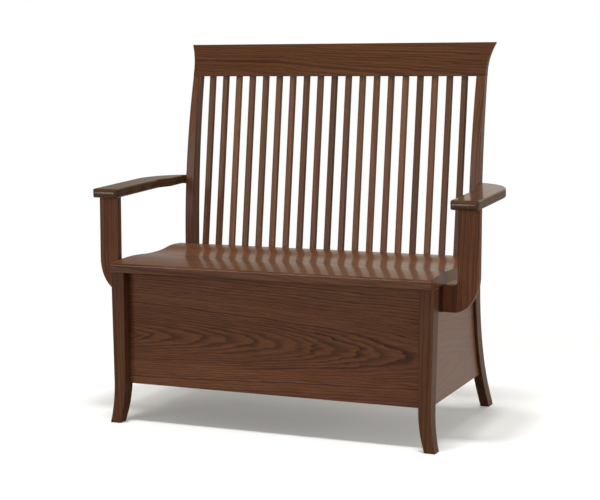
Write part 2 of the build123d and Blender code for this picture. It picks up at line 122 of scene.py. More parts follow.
def sums(tree, operation, *values):
    """The result of a Math node."""
    return add(tree, "ShaderNodeMath", enumerate(values), operation=operation).outputs[0]


def vector_sums(tree, operation, *values):
    """The result of a Vector Math node."""
    return add(tree, "ShaderNodeVectorMath", enumerate(values), operation=operation).outputs[0]


def scaled(tree, vector, factor):
    """A vector made longer or shorter."""
    return add(tree, "ShaderNodeVectorMath", {0: vector, "Scale": factor}, operation="SCALE").outputs[0]


def ramped(tree, value, low, high):
    """Zero below low, one above high, and a smooth step between."""
    sockets = {"Value": value, "From Min": low, "From Max": high}
    return add(tree, "ShaderNodeMapRange", sockets, interpolation_type="SMOOTHSTEP").outputs[0]


def between(tree, value, low, high):
    """A value from 0 to 1 spread between two ends."""
    return sums(tree, "MULTIPLY_ADD", value, high - low, low)


def mixed(tree, share, first, second):
    """Two colours mixed by a share."""
    return add(tree, "ShaderNodeMix", {0: share, 6: first, 7: second}, data_type="RGBA").outputs[2]


def new_group(name, kind, inputs, outputs):
    """An empty node group with named inputs and outputs; returns the tree and its two end nodes."""
    tree = bpy.data.node_groups.new(name, kind)
    for socket, sort, value in inputs:
        made = tree.interface.new_socket(socket, in_out="INPUT", socket_type="NodeSocket" + sort)
        if value is not None:
            made.default_value = value
    for socket, sort in outputs:
        tree.interface.new_socket(socket, in_out="OUTPUT", socket_type="NodeSocket" + sort)
    return tree, tree.nodes.new("NodeGroupInput"), tree.nodes.new("NodeGroupOutput")


# %% [markdown]
# ## Oak, from the tree's own rings
# A tree grows a ring a year round its middle, the pith, and a board is a slice through those rings. An
# image of oak could be wrapped round each board, but it would break at every edge. So the finish is a
# solid pattern: cylinders round a line, bent a little by noise. A face that cuts them at a slant shows
# the arched figure of flat-sawn oak, and its edges match by themselves. Red oak starts each ring with a
# belt of open pores. Stain gathers there, which makes the dark side of every line.

# %% Bending the rings
light_stain = (0.134, 0.0565, 0.0245, 1)
red_stain = (0.106, 0.038, 0.0175, 1)
dark_stain = (0.035, 0.014, 0.0085, 1)

# Waves to the metre, across and along the grain
wander_waves = (4.0, 1.1)
ripple_waves = (24.0, 4.5)
feather_waves = (75.0, 13.0)
fibre_waves = (260.0, 34.0)
streak_waves = (190.0, 3.0)
tint_waves = (11.0, 0.8)
pore_waves = (1300.0, 42.0)
ripple_reach = 0.006
fibre_reach = 0.0016
pore_limits = (0.52, 0.70)
tint_limits = (0.35, 0.65)


def noise(tree, place, across, along, detail=2.0):
    """Noise stretched along the grain; across and along are its waves to the metre."""
    stretched = vector_sums(tree, "MULTIPLY", place, (across, across, along))
    return add(tree, "ShaderNodeTexNoise", {"Vector": stretched, "Scale": 1.0, "Detail": detail})


def bent(tree, place, across, along, reach):
    """Places shifted sideways by noise, up to about half the reach."""
    shift = noise(tree, place, across, along).outputs["Color"]
    centred = vector_sums(tree, "SUBTRACT", shift, (0.5, 0.5, 0.5))
    sideways = vector_sums(tree, "MULTIPLY", centred, (1, 1, 0))
    return vector_sums(tree, "ADD", place, scaled(tree, sideways, reach))


# %% The rings
uneven_waves = 55.0
uneven_years = 2.4
belt_start = (0.0, 0.10)
belt_fade = (0.14, 0.70)


def add_rings(tree, place, ring_width):
    """The dark pore belt of each year: one at its start, fading to nothing."""
    flat = vector_sums(tree, "MULTIPLY", place, (1, 1, 0))
    radius = add(tree, "ShaderNodeVectorMath", {0: flat}, operation="LENGTH").outputs["Value"]
    uneven = add(tree, "ShaderNodeTexNoise", {"W": radius, "Scale": uneven_waves}, noise_dimensions="1D")
    even_rings = sums(tree, "DIVIDE", radius, ring_width)
    rings = sums(tree, "MULTIPLY_ADD", uneven.outputs[0], uneven_years, even_rings)
    year = add(tree, "ShaderNodeTexWhiteNoise", {"W": sums(tree, "FLOOR", rings)}, noise_dimensions="1D")
    part = sums(tree, "FRACT", rings)
    fading = sums(tree, "SUBTRACT", 1.0, ramped(tree, part, *belt_fade))
    belt = sums(tree, "MULTIPLY", ramped(tree, part, *belt_start), fading)
    return sums(tree, "MULTIPLY", belt, between(tree, year.outputs["Value"], 0.4, 1.0))


# %% The grain group
def make_grain_group():
    """Rings, pores and streaks about the Z axis, as a colour, a roughness and a height."""
    tree, start, end = new_group(
        "oak_grain", "ShaderNodeTree",
        [("Place", "Vector", None), ("Ring Width", "Float", 0.006), ("Wander", "Float", 0.03),
         ("Feathering", "Float", 0.005), ("Figure", "Float", 0.75), ("Tone", "Float", 1.0),
         ("Redness", "Float", 0.5)],
        [("Color", "Color"), ("Roughness", "Float"), ("Height", "Float")],
    )
    place = start.outputs["Place"]
    wandering = bent(tree, place, *wander_waves, start.outputs["Wander"])
    rippled = bent(tree, wandering, *ripple_waves, ripple_reach)
    feathered = bent(tree, rippled, *feather_waves, start.outputs["Feathering"])
    fibrous = bent(tree, feathered, *fibre_waves, fibre_reach)
    belt = add_rings(tree, fibrous, start.outputs["Ring Width"])

    streaks = noise(tree, place, *streak_waves, detail=3.0).outputs[0]
    tint = noise(tree, place, *tint_waves).outputs[0]
    pores = ramped(tree, noise(tree, fibrous, *pore_waves, detail=1.0).outputs[0], *pore_limits)
    pores = sums(tree, "MULTIPLY", pores, between(tree, belt, 0.25, 1.0))

    redness = sums(tree, "MULTIPLY_ADD", ramped(tree, tint, *tint_limits), 0.5, start.outputs["Redness"])
    ground = mixed(tree, sums(tree, "MINIMUM", redness, 1.0), light_stain, red_stain)
    ringed = mixed(tree, sums(tree, "MULTIPLY", belt, start.outputs["Figure"]), ground, dark_stain)
    pored = mixed(tree, sums(tree, "MULTIPLY", pores, 0.7), ringed, dark_stain)
    level = between(tree, streaks, 0.55, 1.45)
    level = sums(tree, "MULTIPLY", level, start.outputs["Tone"])
    feed(tree, end.inputs["Color"], scaled(tree, pored, level))

    rough = sums(tree, "MULTIPLY_ADD", pores, 0.2, between(tree, streaks, 0.30, 0.42))
    feed(tree, end.inputs["Roughness"], rough)
    hollows = sums(tree, "MULTIPLY_ADD", pores, -1.0, sums(tree, "MULTIPLY", belt, -0.35))
    feed(tree, end.inputs["Height"], hollows)
    return tree


grain_group = make_grain_group()
print("grain group nodes", len(grain_group.nodes))

# %% [markdown]
# ## Boards glued side by side
# No tree gives a board as wide as this seat or this panel, so both are glued up from narrower ones. At
# each joint the figure jumps to another place in the log and the stain takes a little differently. A
# second group finds out which board a point is on, and moves and tones the grain by that. The home board
# keeps its place in the log, so that its figure can be put where the photograph shows it.

# %% The glued boards group
def make_boards_group():
    """Shift the grain from board to board, counted along a direction."""
    tree, start, end = new_group(
        "glued_boards", "ShaderNodeTree",
        [("Place", "Vector", None), ("Across", "Vector", (0, 0, 1)), ("Board Width", "Float", 0.11),
         ("First Joint", "Float", 0.0), ("Home", "Float", 0.0), ("Seed", "Float", 1.0),
         ("Jump", "Float", 0.1)],
        [("Place", "Vector"), ("Tone", "Float")],
    )
    place = start.outputs["Place"]
    across = add(tree, "ShaderNodeVectorMath", {0: place, 1: start.outputs["Across"]},
                 operation="DOT_PRODUCT").outputs["Value"]
    past = sums(tree, "SUBTRACT", across, start.outputs["First Joint"])
    board = sums(tree, "FLOOR", sums(tree, "DIVIDE", past, start.outputs["Board Width"]))
    away = sums(tree, "ABSOLUTE", sums(tree, "SUBTRACT", board, start.outputs["Home"]))
    reach = sums(tree, "MULTIPLY", sums(tree, "MINIMUM", away, 1.0), start.outputs["Jump"])
    chance = add(tree, "ShaderNodeTexWhiteNoise", {"W": sums(tree, "ADD", board, start.outputs["Seed"])},
                 noise_dimensions="1D")
    centred = vector_sums(tree, "SUBTRACT", chance.outputs["Color"], (0.5, 0.5, 0.5))
    feed(tree, end.inputs["Place"], vector_sums(tree, "ADD", place, scaled(tree, centred, reach)))
    feed(tree, end.inputs["Tone"], between(tree, chance.outputs["Value"], 0.89, 1.11))
    return tree


boards_group = make_boards_group()
print("glued boards group nodes", len(boards_group.nodes))

# %% [markdown]
# ## One oak finish for each kind of board
# The recipe is the same everywhere, and mostly only the log moves: which way the board's length lies,
# where the pith runs, and how far the two lean apart. A pith near the face gives arches, one far off
# gives straight
# lines. A tone per piece also lightens or darkens the stain, and in places that tone is painted light:
# painted sheen on the side panels, painted shade on the crest and painted light on the supports. The
# lacquer is the Principled shader's coat, thin and nearly smooth over a rougher stain. It shows little
# from the front and much at a low angle, as on the seat and the arms.

# %% The oak materials
lengthwise = {"X": (0, math.pi / 2, 0), "Y": (-math.pi / 2, 0, 0), "Z": (0, 0, 0)}
pore_depth = 0.00025
bare_gamma = 0.52
stain_shine = 0.05
bare_coat = 0.05


def oak(name, along, pith, lean=(0, 0, 0), glued=None, own_log=False, bare=False, coat=0.15, blur=0.09,
        tone=1.0, **grain):
    """A stained oak whose rings run along X, Y or Z round a pith; blur is the lacquer's roughness."""
    material = bpy.data.materials.new(name)
    material.use_nodes = True
    tree = material.node_tree
    place = add(tree, "ShaderNodeTexCoord").outputs["Object"]
    level = tone
    if glued:
        boards = add(tree, "ShaderNodeGroup", {"Place": place, **glued}, node_tree=boards_group)
        place = boards.outputs["Place"]
        level = sums(tree, "MULTIPLY", boards.outputs["Tone"], tone)
    if own_log:
        log = add(tree, "ShaderNodeAttribute", attribute_name="log")
        place = vector_sums(tree, "ADD", place, log.outputs["Vector"])
        shade = add(tree, "ShaderNodeAttribute", attribute_name="shade")
        level = sums(tree, "MULTIPLY", shade.outputs["Fac"], tone)
    turn = [a + math.radians(b) for a, b in zip(lengthwise[along], lean)]
    turned = add(tree, "ShaderNodeMapping", {"Vector": place, "Location": pith, "Rotation": turn},
                 vector_type="TEXTURE")
    sizes = {word.replace("_", " ").title(): value for word, value in grain.items()}
    wood = add(tree, "ShaderNodeGroup", {"Place": turned.outputs[0], "Tone": level, **sizes},
               node_tree=grain_group)
    colour = wood.outputs["Color"]
    if bare:
        colour = add(tree, "ShaderNodeGamma", {"Color": colour, "Gamma": bare_gamma}).outputs[0]
    bump = add(tree, "ShaderNodeBump",
               {"Height": wood.outputs["Height"], "Distance": pore_depth, "Strength": 0.3})
    shader = tree.nodes["Principled BSDF"]
    feed(tree, shader.inputs["Base Color"], colour)
    feed(tree, shader.inputs["Roughness"], wood.outputs["Roughness"])
    feed(tree, shader.inputs["Normal"], bump.outputs[0])
    shader.inputs["Specular IOR Level"].default_value = stain_shine
    shader.inputs["Coat Weight"].default_value = bare_coat if bare else coat
    shader.inputs["Coat Roughness"].default_value = blur
    return material


# %% [markdown]
# ## Boards with real edges
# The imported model's boards have exact shapes but knife edges or plain chamfers, and light slides off
# those. A copy of each one is welded and freed of needless edges, and a Bevel modifier rounds what is
# left by about a millimetre, as sanding does. The soles of the feet stay sharp, flat on the floor. The
# shading is weighted by area, so that a wide flat face stays flat up to its rounded edge.

# %% A clean copy of a node
same_place = 0.00001
flat_angle = math.radians(0.3)
sharp_angle = math.radians(28)


def weld(shape):
    """Merge a mesh's doubled corners and drop the edges that cross its flats."""
    bmesh.ops.remove_doubles(shape, verts=shape.verts, dist=same_place)
    bmesh.ops.dissolve_limit(shape, angle_limit=flat_angle, verts=shape.verts, edges=shape.edges)


def cleaned(node):
    """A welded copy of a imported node's mesh."""
    shape = bmesh.new()
    shape.from_mesh(frame["nodes"][node].data)
    weld(shape)
    return shape


def sharp_edges(shape):
    """The edges where two faces meet at a clear angle."""
    return [edge for edge in shape.edges if edge.is_manifold and edge.calc_face_angle() > sharp_angle]


# %% A finished board from a node
board_edge = 0.0009
fine_edge = 0.0006
arm_edge = 0.0014
seat_edge = 0.0012
dowel_edge = 0.0003
metal_edge = 0.0002
sole_height = 0.001


def placed(shape, name, material):
    """An object made of a finished bmesh, with its material."""
    mesh = bpy.data.meshes.new(name)
    shape.to_mesh(mesh)
    shape.free()
    mesh.materials.append(material)
    return in_scene(name, mesh)


def rounded(shape, name, material, edge, segments=2):
    """An object with rounded edges and flats that are shaded flat; its soles keep their edges."""
    weight = shape.edges.layers.float.new("bevel_weight_edge")
    for face in shape.faces:
        face.smooth = True
    for sharp in sharp_edges(shape):
        on_floor = max(end.co.z for end in sharp.verts) < sole_height
        sharp.smooth = not on_floor
        sharp[weight] = 0.0 if on_floor else 1.0
    piece = placed(shape, name, material)
    rounding = piece.modifiers.new("rounded edges", "BEVEL")
    rounding.width = edge
    rounding.segments = segments
    rounding.limit_method = "WEIGHT"
    shading = piece.modifiers.new("flat flats", "WEIGHTED_NORMAL")
    shading.mode = "FACE_AREA"
    shading.keep_sharp = True
    return piece


def stands_for(piece, slot, *nodes):
    """Let a piece move with its nodes' body, and take their place."""
    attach(piece, frame["nodes"][nodes[0]]["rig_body"])
    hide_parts(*nodes)


def finished(node, material, edge=board_edge, segments=2, slot="board_oak"):
    """The finished board of a node."""
    stands_for(rounded(cleaned(node), node + "_board", material, edge, segments), slot, node)


# %% [markdown]
# ## The box
# Each board could be a scaled cube, but the imported nodes hold the true tapers, tongues and curves, so
# every board is a finished copy of its node. The front panel is the show piece, glued up from three
# boards. In the middle one the pith lies close behind the face at the left and further off at the right,
# so its arches point to the right. The side panels, in straighter wood, run front to back. Their stain is
# also painted paler and with weaker figure, as painted sheen for the glare their coat shows at a low
# angle.
# The legs stand upright, and so does their grain.

# %% Box boards
panel_boards = {"Across": (0, 0, 1), "Board Width": 0.160, "First Joint": 0.022, "Home": 1.0, "Seed": 6.0,
                "Jump": 0.3}
panel_pith = (0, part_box("front_panel")[0].y + 0.055, 0.255)
panel_oak = oak("front_panel_oak", "X", panel_pith, lean=(0, 0, 4.6), glued=panel_boards, tone=1.28,
                ring_width=0.0056, wander=0.035, feathering=0.0065, figure=1.0)
finished("front_panel", panel_oak)

side_pith = 0.292
hands = (("left", -1), ("right", 1))
for side, hand in hands:
    # The high tone and weak figure are partly painted sheen: they make the sides pale and flat, as
    # low-angle glare does, over the real coat set here.
    side_oak = oak(f"{side}_side_oak", "Y", (hand * side_pith, 0, 0.22), lean=(2, 0, 2 * hand), coat=0.7,
                   blur=0.36, tone=1.35, ring_width=0.006, wander=0.05, figure=0.4)
    finished(f"{side}_side_panel", side_oak)
    leg_oak = oak(f"{side}_leg_oak", "Z", (hand * 0.56, -0.45, 0), lean=(0.8, 0.5 * hand, 0), coat=0.12,
                  blur=0.28, tone=0.8, ring_width=0.008, wander=0.02, redness=0.45, figure=0.55)
    finished(f"{side}_front_leg", leg_oak)

back_pith = (0.1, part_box("back_panel")[1].y - 0.14, 0.28)
back_oak = oak("back_panel_oak", "X", back_pith, lean=(0, 0, -3), ring_width=0.007, wander=0.05)
finished("back_panel", back_oak)
print("box boards done")

# %% [markdown]
# ## Inside the box
# Nobody stains the inside as carefully. The floor, cleats, glue blocks and the battens under the lid are
# a paler oak that is only sealed. It could have a recipe of its own, but a Gamma node that lifts the same
# grain is simpler, and keeps the two woods alike.

# %% Inner boards
inside_across = oak("inside_oak_across", "X", (0.1, 0.1, -0.05), bare=True, redness=0.1)
inside_deep = oak("inside_oak_deep", "Y", (0.1, 0.0, 0.55), bare=True, redness=0.1)
inside_upright = oak("inside_oak_upright", "Z", (0.25, 0.15, 0), bare=True, redness=0.1)
for node in ("bottom_panel", "front_cleat", "back_cleat"):
    finished(node, inside_across, slot="inside_oak")
for side in ("left", "right"):
    finished(f"{side}_side_cleat", inside_deep, slot="inside_oak")
    finished(f"{side}_lid_batten", inside_deep, slot="inside_oak")
    for end in ("front", "back"):
        finished(f"{side}_{end}_corner_block", inside_upright, slot="inside_oak")
finished("arm_dowels", inside_upright, edge=dowel_edge, slot="inside_oak")
print("inner boards done")

# %% [markdown]
# ## Posts, rail and crest
# Each post is sawn from one wide board, so its grain runs straight up while the shape curves through it.
# A pattern that is laid along the curve would look like bent wood, and a solid one gets this right by
# itself. The rail and the crest are long boards. The crest's pith lies behind and below it, nearly level,
# and its rings are narrow, so its figure is fine lines that run nearly straight.

# %% Back boards
for side, hand, redness in (("left", -1, 0.5), ("right", 1, 0.3)):
    post_oak = oak(f"{side}_post_oak", "Z", (hand * 0.62, 0.02, 0), lean=(-5, 0.5, 0), ring_width=0.0075,
                   redness=redness, coat=0.1, blur=0.2)
    finished(f"{side}_back_post", post_oak)

rail_oak = oak("back_rail_oak", "X", (0, 0.05, 0.36), lean=(0, 0, 1), ring_width=0.007)
finished("back_rail", rail_oak, edge=fine_edge)
# The crest's low tone is painted shade: its stain is made darker to offset the strong light that the
# overhead lamp puts on it.
crest_oak_painted_shade = oak("crest_oak_painted_shade", "X", (-0.15, 0.31, 0.93), lean=(0, 0.6, 0.8), ring_width=0.005, wander=0.05,
                redness=0.2, figure=0.7, coat=0.05, tone=0.73)
finished("crest_rail", crest_oak_painted_shade, edge=fine_edge)
print("back boards done")

# %% [markdown]
# ## Arms and their supports
# The arms are flat paddles that a hand rests on, so their front is well rounded, and sleeves keep them
# glossier than most of the settle. Such a shape could be modelled from a subdivided cube, but the packed
# arm already has its waist, nose and tilt, so a wider bevel of three segments is all that it needs. The
# supports are cut from upright boards.

# %% Arm boards
for side, hand in hands:
    arm_oak = oak(f"{side}_arm_oak", "Y", (hand * 0.50, 0, 0.45), lean=(2.9, 0, 1.5 * hand), coat=0.4,
                  ring_width=0.007, wander=0.02, redness=0.2, figure=0.6, tone=0.6)
    finished(f"{side}_arm", arm_oak, edge=arm_edge, segments=3)
    # The supports' high tone is partly for the dark belts of their grain and partly painted light,
    # brightening faces that the arm above keeps in shade.
    support_oak_and_painted_light = oak(f"{side}_support_oak_and_painted_light", "Z", (hand * 0.72, -0.35, 0), lean=(0.3, 0.7, 0), coat=0.04,
                      blur=0.2, tone=1.3, ring_width=0.0085, redness=0.5, figure=0.85)
    finished(f"{side}_arm_support", support_oak_and_painted_light)
print("arm boards done")

# %% [markdown]
# ## Spindles on a line
# Nineteen spindles are one shape at an even pitch. Copies or an Array modifier would repeat it, but every
# stick would then show the same grain. Geometry Nodes make a line of points and put an instance on each,
# and store a random log and shade on every one, because no two sticks come from the same place in the
# tree. Realize Instances makes them real.

# %% The repeating tree
def centred_line(tree, count, pitch):
    """A row of points along X, evenly spaced about the middle."""
    gaps = sums(tree, "SUBTRACT", count, 1.0)
    first = sums(tree, "MULTIPLY", sums(tree, "MULTIPLY", gaps, pitch), -0.5)
    begin = add(tree, "ShaderNodeCombineXYZ", {"X": first}).outputs[0]
    step = add(tree, "ShaderNodeCombineXYZ", {"X": pitch}).outputs[0]
    sockets = {"Count": count, "Start Location": begin, "Offset": step}
    return add(tree, "GeometryNodeMeshLine", sockets, mode="OFFSET").outputs[0]


def dress(tree, end, geometry, material):
    """End a tree: make its instances real and give them their material."""
    real = add(tree, "GeometryNodeRealizeInstances", {"Geometry": geometry}).outputs[0]
    dressed = add(tree, "GeometryNodeSetMaterial", {"Geometry": real, "Material": material}).outputs[0]
    feed(tree, end.inputs["Geometry"], dressed)


def make_spindle_tree():
    """Repeat a spindle at an even pitch, each with its own log and shade."""
    tree, start, end = new_group(
        "spindle_row", "GeometryNodeTree",
        [("Geometry", "Geometry", None), ("Count", "Int", 19), ("Pitch", "Float", 0.0452),
         ("Seed", "Int", 7), ("Log Spread", "Vector", (0.08, 0.08, 0.6)), ("Shade Spread", "Float", 0.2),
         ("Material", "Material", None)],
        [("Geometry", "Geometry")],
    )
    row = add(tree, "GeometryNodeInstanceOnPoints",
              {"Points": centred_line(tree, start.outputs["Count"], start.outputs["Pitch"]),
               "Instance": start.outputs["Geometry"]})
    spread = start.outputs["Log Spread"]
    log = add(tree, "FunctionNodeRandomValue",
              {0: scaled(tree, spread, -1.0), 1: spread, "Seed": start.outputs["Seed"]},
              data_type="FLOAT_VECTOR")
    with_log = add(tree, "GeometryNodeStoreNamedAttribute",
                   {"Geometry": row.outputs[0], "Name": "log", "Value": log.outputs[0]},
                   data_type="FLOAT_VECTOR", domain="INSTANCE")
    low = sums(tree, "SUBTRACT", 1.0, start.outputs["Shade Spread"])
    high = sums(tree, "ADD", 1.0, start.outputs["Shade Spread"])
    next_seed = sums(tree, "ADD", start.outputs["Seed"], 1.0)
    shade = add(tree, "FunctionNodeRandomValue", {2: low, 3: high, "Seed": next_seed}, data_type="FLOAT")
    with_shade = add(tree, "GeometryNodeStoreNamedAttribute",
                     {"Geometry": with_log.outputs[0], "Name": "shade", "Value": shade.outputs[1]},
                     data_type="FLOAT", domain="INSTANCE")
    dress(tree, end, with_shade.outputs[0], start.outputs["Material"])
    return tree


def converted(piece, tree, values):
    """Run a tree on an object, remove the object, and give the result as a plain mesh."""
    modifier = piece.modifiers.new("nodes", "NODES")
    modifier.node_group = tree
    sockets = {item.name: item.identifier for item in tree.interface.items_tree if item.in_out == "INPUT"}
    for socket, value in values.items():
        modifier[sockets[socket]] = value
    bpy.context.view_layer.update()
    mesh = bpy.data.meshes.new_from_object(piece.evaluated_get(bpy.context.evaluated_depsgraph_get()))
    bpy.data.objects.remove(piece)
    return mesh


# %% Spindle row
spindle_oak = oak("spindle_oak", "Z", (0.16, 0.05, 0), lean=(-6.9, 0, 0), own_log=True, tone=1.04,
                  coat=0.04, ring_width=0.0065, wander=0.02, redness=-0.1)
spindle_names = sorted(name for name in frame["nodes"] if name.startswith("spindle_"))
spindle_middles = [(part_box(name)[0].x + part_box(name)[1].x) / 2 for name in spindle_names]
spindle_pitch = (spindle_middles[-1] - spindle_middles[0]) / (len(spindle_names) - 1)

stick = cleaned(spindle_names[len(spindle_names) // 2])
bmesh.ops.bevel(stick, geom=sharp_edges(stick), offset=fine_edge, segments=2, affect="EDGES", profile=0.5,
                clamp_overlap=True)
spindle_values = {"Count": len(spindle_names), "Pitch": spindle_pitch, "Seed": 7, "Shade Spread": 0.28,
                  "Material": spindle_oak}
spindle_mesh = converted(placed(stick, "one_spindle", spindle_oak), make_spindle_tree(), spindle_values)
stands_for(in_scene("spindles", spindle_mesh), "spindle_oak", *spindle_names)
print("spindles", len(spindle_names), "pitch", round(spindle_pitch, 5))
print("spindle faces", len(spindle_mesh.polygons))

# %% [markdown]
# ## The saddle seat, swept from its side view
# The seat has the same side view all along: a flat front edge, a dip for the thighs, a rise at the back.
# So it is one outline swept along X by Geometry Nodes, with the pockets for the hinges cut afterwards.
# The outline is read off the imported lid, where it ends at the right, so the two can't drift apart.

# %% The sweeping tree
def make_sweep_tree():
    """Sweep an outline along X, close its ends and cut a row of pockets."""
    tree, start, end = new_group(
        "seat_sweep", "GeometryNodeTree",
        [("Geometry", "Geometry", None), ("Length", "Float", 0.95), ("Pocket Count", "Int", 3),
         ("Pocket Pitch", "Float", 0.32), ("Pocket Size", "Vector", None),
         ("Pocket Place", "Vector", None), ("Material", "Material", None)],
        [("Geometry", "Geometry")],
    )
    half = sums(tree, "MULTIPLY", start.outputs["Length"], 0.5)
    right_end = add(tree, "ShaderNodeCombineXYZ", {"X": half}).outputs[0]
    path = add(tree, "GeometryNodeCurvePrimitiveLine",
               {"Start": scaled(tree, right_end, -1.0), "End": right_end}).outputs[0]
    outline = add(tree, "GeometryNodeMeshToCurve", {"Mesh": start.outputs["Geometry"]}).outputs[0]
    swept = add(tree, "GeometryNodeCurveToMesh",
                {"Curve": path, "Profile Curve": outline, "Fill Caps": True}).outputs[0]
    welded = add(tree, "GeometryNodeMergeByDistance",
                 {"Geometry": swept, "Distance": same_place}).outputs[0]

    cutter = add(tree, "GeometryNodeMeshCube", {"Size": start.outputs["Pocket Size"]}).outputs[0]
    in_place = add(tree, "GeometryNodeTransform",
                   {"Geometry": cutter, "Translation": start.outputs["Pocket Place"]}).outputs[0]
    row = centred_line(tree, start.outputs["Pocket Count"], start.outputs["Pocket Pitch"])
    cutters = add(tree, "GeometryNodeInstanceOnPoints", {"Points": row, "Instance": in_place}).outputs[0]
    real_cutters = add(tree, "GeometryNodeRealizeInstances", {"Geometry": cutters}).outputs[0]
    cut = add(tree, "GeometryNodeMeshBoolean", {"Mesh 1": welded, "Mesh 2": real_cutters},
              operation="DIFFERENCE", solver="EXACT")
    dress(tree, end, cut.outputs["Mesh"], start.outputs["Material"])
    return tree


def end_outline(node):
    """The side view of a node as a closed line, in the plane that a profile is drawn in."""
    shape = cleaned(node)
    reach = max(vertex.co.x for vertex in shape.verts)
    inside = reach - same_place
    ends = [face for face in shape.faces if all(vertex.co.x > inside for vertex in face.verts)]
    rim = [edge for edge in shape.edges if sum(face in ends for face in edge.link_faces) == 1]
    corners = sorted({vertex for edge in rim for vertex in edge.verts}, key=lambda vertex: vertex.index)
    number = {vertex: index for index, vertex in enumerate(corners)}
    mesh = bpy.data.meshes.new(node + "_outline")
    mesh.from_pydata([(-vertex.co.y, -vertex.co.z, 0) for vertex in corners],
                     [tuple(number[vertex] for vertex in edge.verts) for edge in rim], [])
    shape.free()
    return in_scene(node + "_outline", mesh), reach


# %% Seat lid
seat_boards = {"Across": (0, 1, 0), "Board Width": 0.118, "First Joint": -0.36, "Home": 0.0, "Seed": 11.0,
               "Jump": 0.1}
seat_oak = oak("seat_oak", "X", (0, -0.20, 0.38), lean=(0, 1.0, 1.5), glued=seat_boards, coat=0.3,
               tone=0.98, ring_width=0.006, wander=0.05, redness=0.3, figure=0.6)
seat_line, seat_reach = end_outline("seat_lid")
leaf_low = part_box("hinge_lid_leaf_3")[0]
pin_low, pin_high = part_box("hinge_pin_3")
clearance = 0.0003
pocket_depth = 0.04
pocket_height = 0.12
pocket_size = (pin_high.x - pin_low.x + 2 * clearance, pocket_depth, pocket_height)
pocket_place = (0, leaf_low.y + pocket_depth / 2, leaf_low.z)
seat_values = {"Length": 2 * seat_reach, "Pocket Count": 3, "Pocket Pitch": (pin_low.x + pin_high.x) / 2,
               "Pocket Size": pocket_size, "Pocket Place": pocket_place, "Material": seat_oak}
seat_shape = bmesh.new()
seat_shape.from_mesh(converted(seat_line, make_sweep_tree(), seat_values))
weld(seat_shape)
bmesh.ops.recalc_face_normals(seat_shape, faces=seat_shape.faces)
print("seat volume in litres", round(1000 * seat_shape.calc_volume(), 3), "open edges",
      sum(not edge.is_manifold for edge in seat_shape.edges))
stands_for(rounded(seat_shape, "seat_board", seat_oak, seat_edge), "seat_oak", "seat_lid")

# %% [markdown]
# ## Hinges
# The metal is barely seen until the lid is lifted. The hinges are old brass. One even metallic colour
# would look new, so a cloudy noise mixes bright metal with dull, in the colour and in the roughness.

# %% Metal finishes
cloud_waves = 160.0


def metal(name, bright, dull, roughness):
    """A metal with cloudy tarnish."""
    material = bpy.data.materials.new(name)
    material.use_nodes = True
    tree = material.node_tree
    place = add(tree, "ShaderNodeTexCoord").outputs["Object"]
    clouds = add(tree, "ShaderNodeTexNoise", {"Vector": place, "Scale": cloud_waves, "Detail": 4.0})
    cover = ramped(tree, clouds.outputs[0], 0.35, 0.7)
    shader = tree.nodes["Principled BSDF"]
    feed(tree, shader.inputs["Base Color"], mixed(tree, cover, bright, dull))
    feed(tree, shader.inputs["Roughness"], sums(tree, "MULTIPLY_ADD", cover, 0.2, roughness))
    shader.inputs["Metallic"].default_value = 1.0
    return material


brass = metal("old_brass", (0.42, 0.30, 0.14, 1), (0.20, 0.14, 0.07, 1), 0.28)
zinc = metal("dull_zinc", (0.34, 0.33, 0.31, 1), (0.20, 0.19, 0.18, 1), 0.35)
bronze = metal("dark_bronze", (0.06, 0.035, 0.022, 1), (0.03, 0.018, 0.012, 1), 0.4)
for number in (1, 2, 3):
    for node in (f"hinge_fixed_leaf_{number}", f"hinge_lid_leaf_{number}", f"hinge_pin_{number}"):
        finished(node, brass, edge=metal_edge, slot="hinge_metal")
print("hinges done")

# %% [markdown]
# ## Screws
# Every screw is the same countersunk shape in another size: a cone for a head with a cross sunk into it,
# and a tapered shank in the wood. Geometry Nodes build it from its sizes, put one on each point, turn it
# to face the way the point says, and spin it by chance, because no one lines up the crosses by hand.

# %% The screw tree
head_sides = 24
cross_length = 1.1
cross_width = 0.2
tip_share = 0.25


